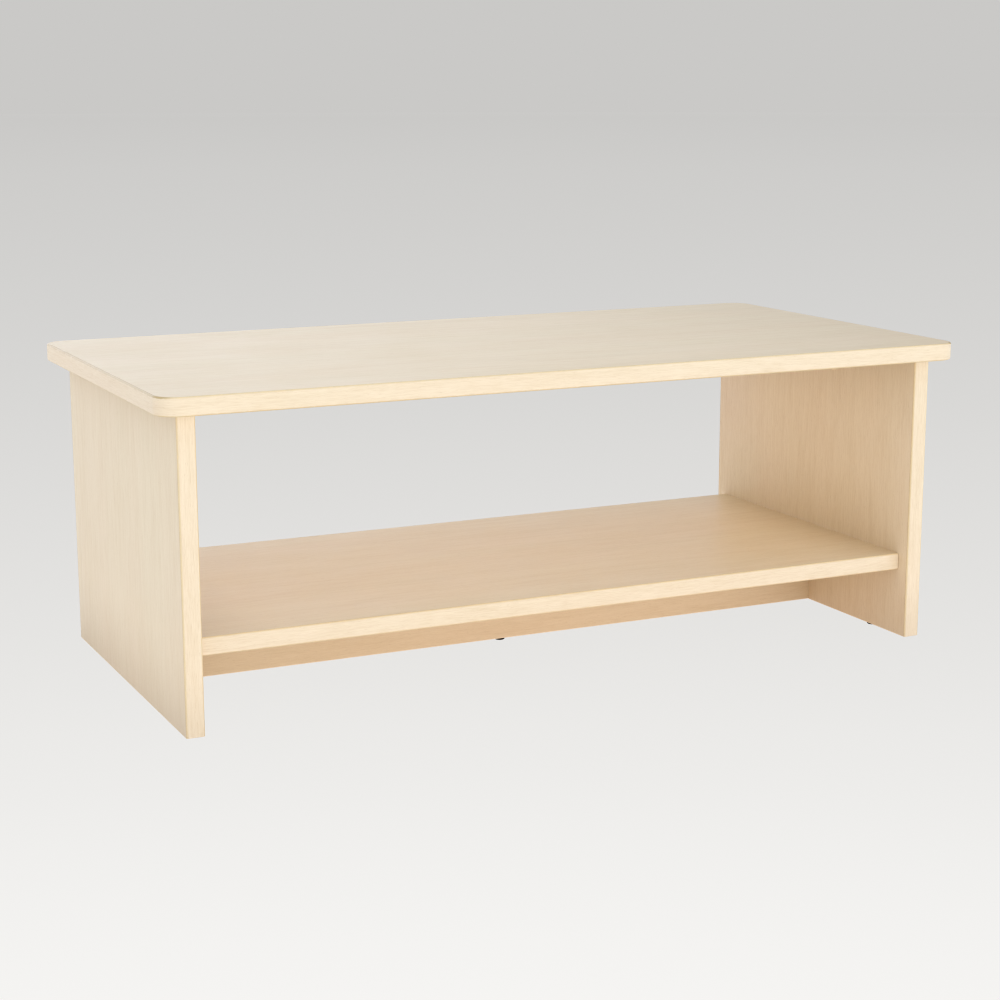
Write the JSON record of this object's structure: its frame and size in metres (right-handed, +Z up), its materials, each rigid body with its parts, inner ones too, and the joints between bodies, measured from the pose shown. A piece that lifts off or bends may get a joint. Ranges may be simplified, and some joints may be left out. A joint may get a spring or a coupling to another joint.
{
  "type": "communion table",
  "caption": "Low rectangular table with a round-cornered top on two side panels, an open shelf between them and a stretcher under the shelf.",
  "frame": {"origin": "on the floor under the middle of the top", "axes": "+X along the table's length, to the right seen from the front; +Y to the rear; +Z up"},
  "size_m": [1.2, 0.6, 0.45],
  "materials": {
    "maple_laminate": "satin light maple pattern, fine straight grain",
    "maple_edge_band": "satin, light maple pattern, paler than the faces",
    "maple_cap": "satin, coloured to match the boards",
    "beech_dowel": "raw turned beech",
    "zinc_cam": "dull die-cast zinc",
    "steel_bolt": "bright zinc-plated",
    "black_glide": "smooth black plastic"
  },
  "bodies": {
    "root": {"top_panel": "maple_laminate", "top_edge_band": "maple_edge_band", "left_side_panel": "maple_laminate", "left_side_front_band": "maple_edge_band", "left_side_rear_band": "maple_edge_band", "left_side_foot_band": "maple_edge_band", "top_cam_left_front": "zinc_cam", "top_cam_cap_left_front": "maple_cap", "top_cam_bolt_left_front": "steel_bolt", "top_dowel_left_front": "beech_dowel", "glide_left_front": "black_glide", "top_cam_left_rear": "zinc_cam", "top_cam_cap_left_rear": "maple_cap", "top_cam_bolt_left_rear": "steel_bolt", "top_dowel_left_rear": "beech_dowel", "glide_left_rear": "black_glide", "right_side_panel": "maple_laminate", "right_side_front_band": "maple_edge_band", "right_side_rear_band": "maple_edge_band", "right_side_foot_band": "maple_edge_band", "top_cam_right_front": "zinc_cam", "top_cam_cap_right_front": "maple_cap", "top_cam_bolt_right_front": "steel_bolt", "top_dowel_right_front": "beech_dowel", "glide_right_front": "black_glide", "top_cam_right_rear": "zinc_cam", "top_cam_cap_right_rear": "maple_cap", "top_cam_bolt_right_rear": "steel_bolt", "top_dowel_right_rear": "beech_dowel", "glide_right_rear": "black_glide", "shelf_panel": "maple_laminate", "shelf_front_band": "maple_edge_band", "shelf_rear_band": "maple_edge_band", "shelf_cam_left_front": "zinc_cam", "shelf_cam_bolt_left_front": "steel_bolt", "shelf_dowel_left_front": "beech_dowel", "shelf_cam_left_rear": "zinc_cam", "shelf_cam_bolt_left_rear": "steel_bolt", "shelf_dowel_left_rear": "beech_dowel", "shelf_cam_right_front": "zinc_cam", "shelf_cam_bolt_right_front": "steel_bolt", "shelf_dowel_right_front": "beech_dowel", "shelf_cam_right_rear": "zinc_cam", "shelf_cam_bolt_right_rear": "steel_bolt", "shelf_dowel_right_rear": "beech_dowel", "stretcher_panel": "maple_laminate", "stretcher_foot_band": "maple_edge_band", "stretcher_cam_left": "zinc_cam", "stretcher_cam_bolt_left": "steel_bolt", "stretcher_dowel_left": "beech_dowel", "stretcher_cam_right": "zinc_cam", "stretcher_cam_bolt_right": "steel_bolt", "stretcher_dowel_right": "beech_dowel", "shelf_rail_dowel_left": "beech_dowel", "shelf_rail_dowel_middle": "beech_dowel", "shelf_rail_dowel_right": "beech_dowel", "glide_middle": "black_glide"}
  },
  "joints": []
}
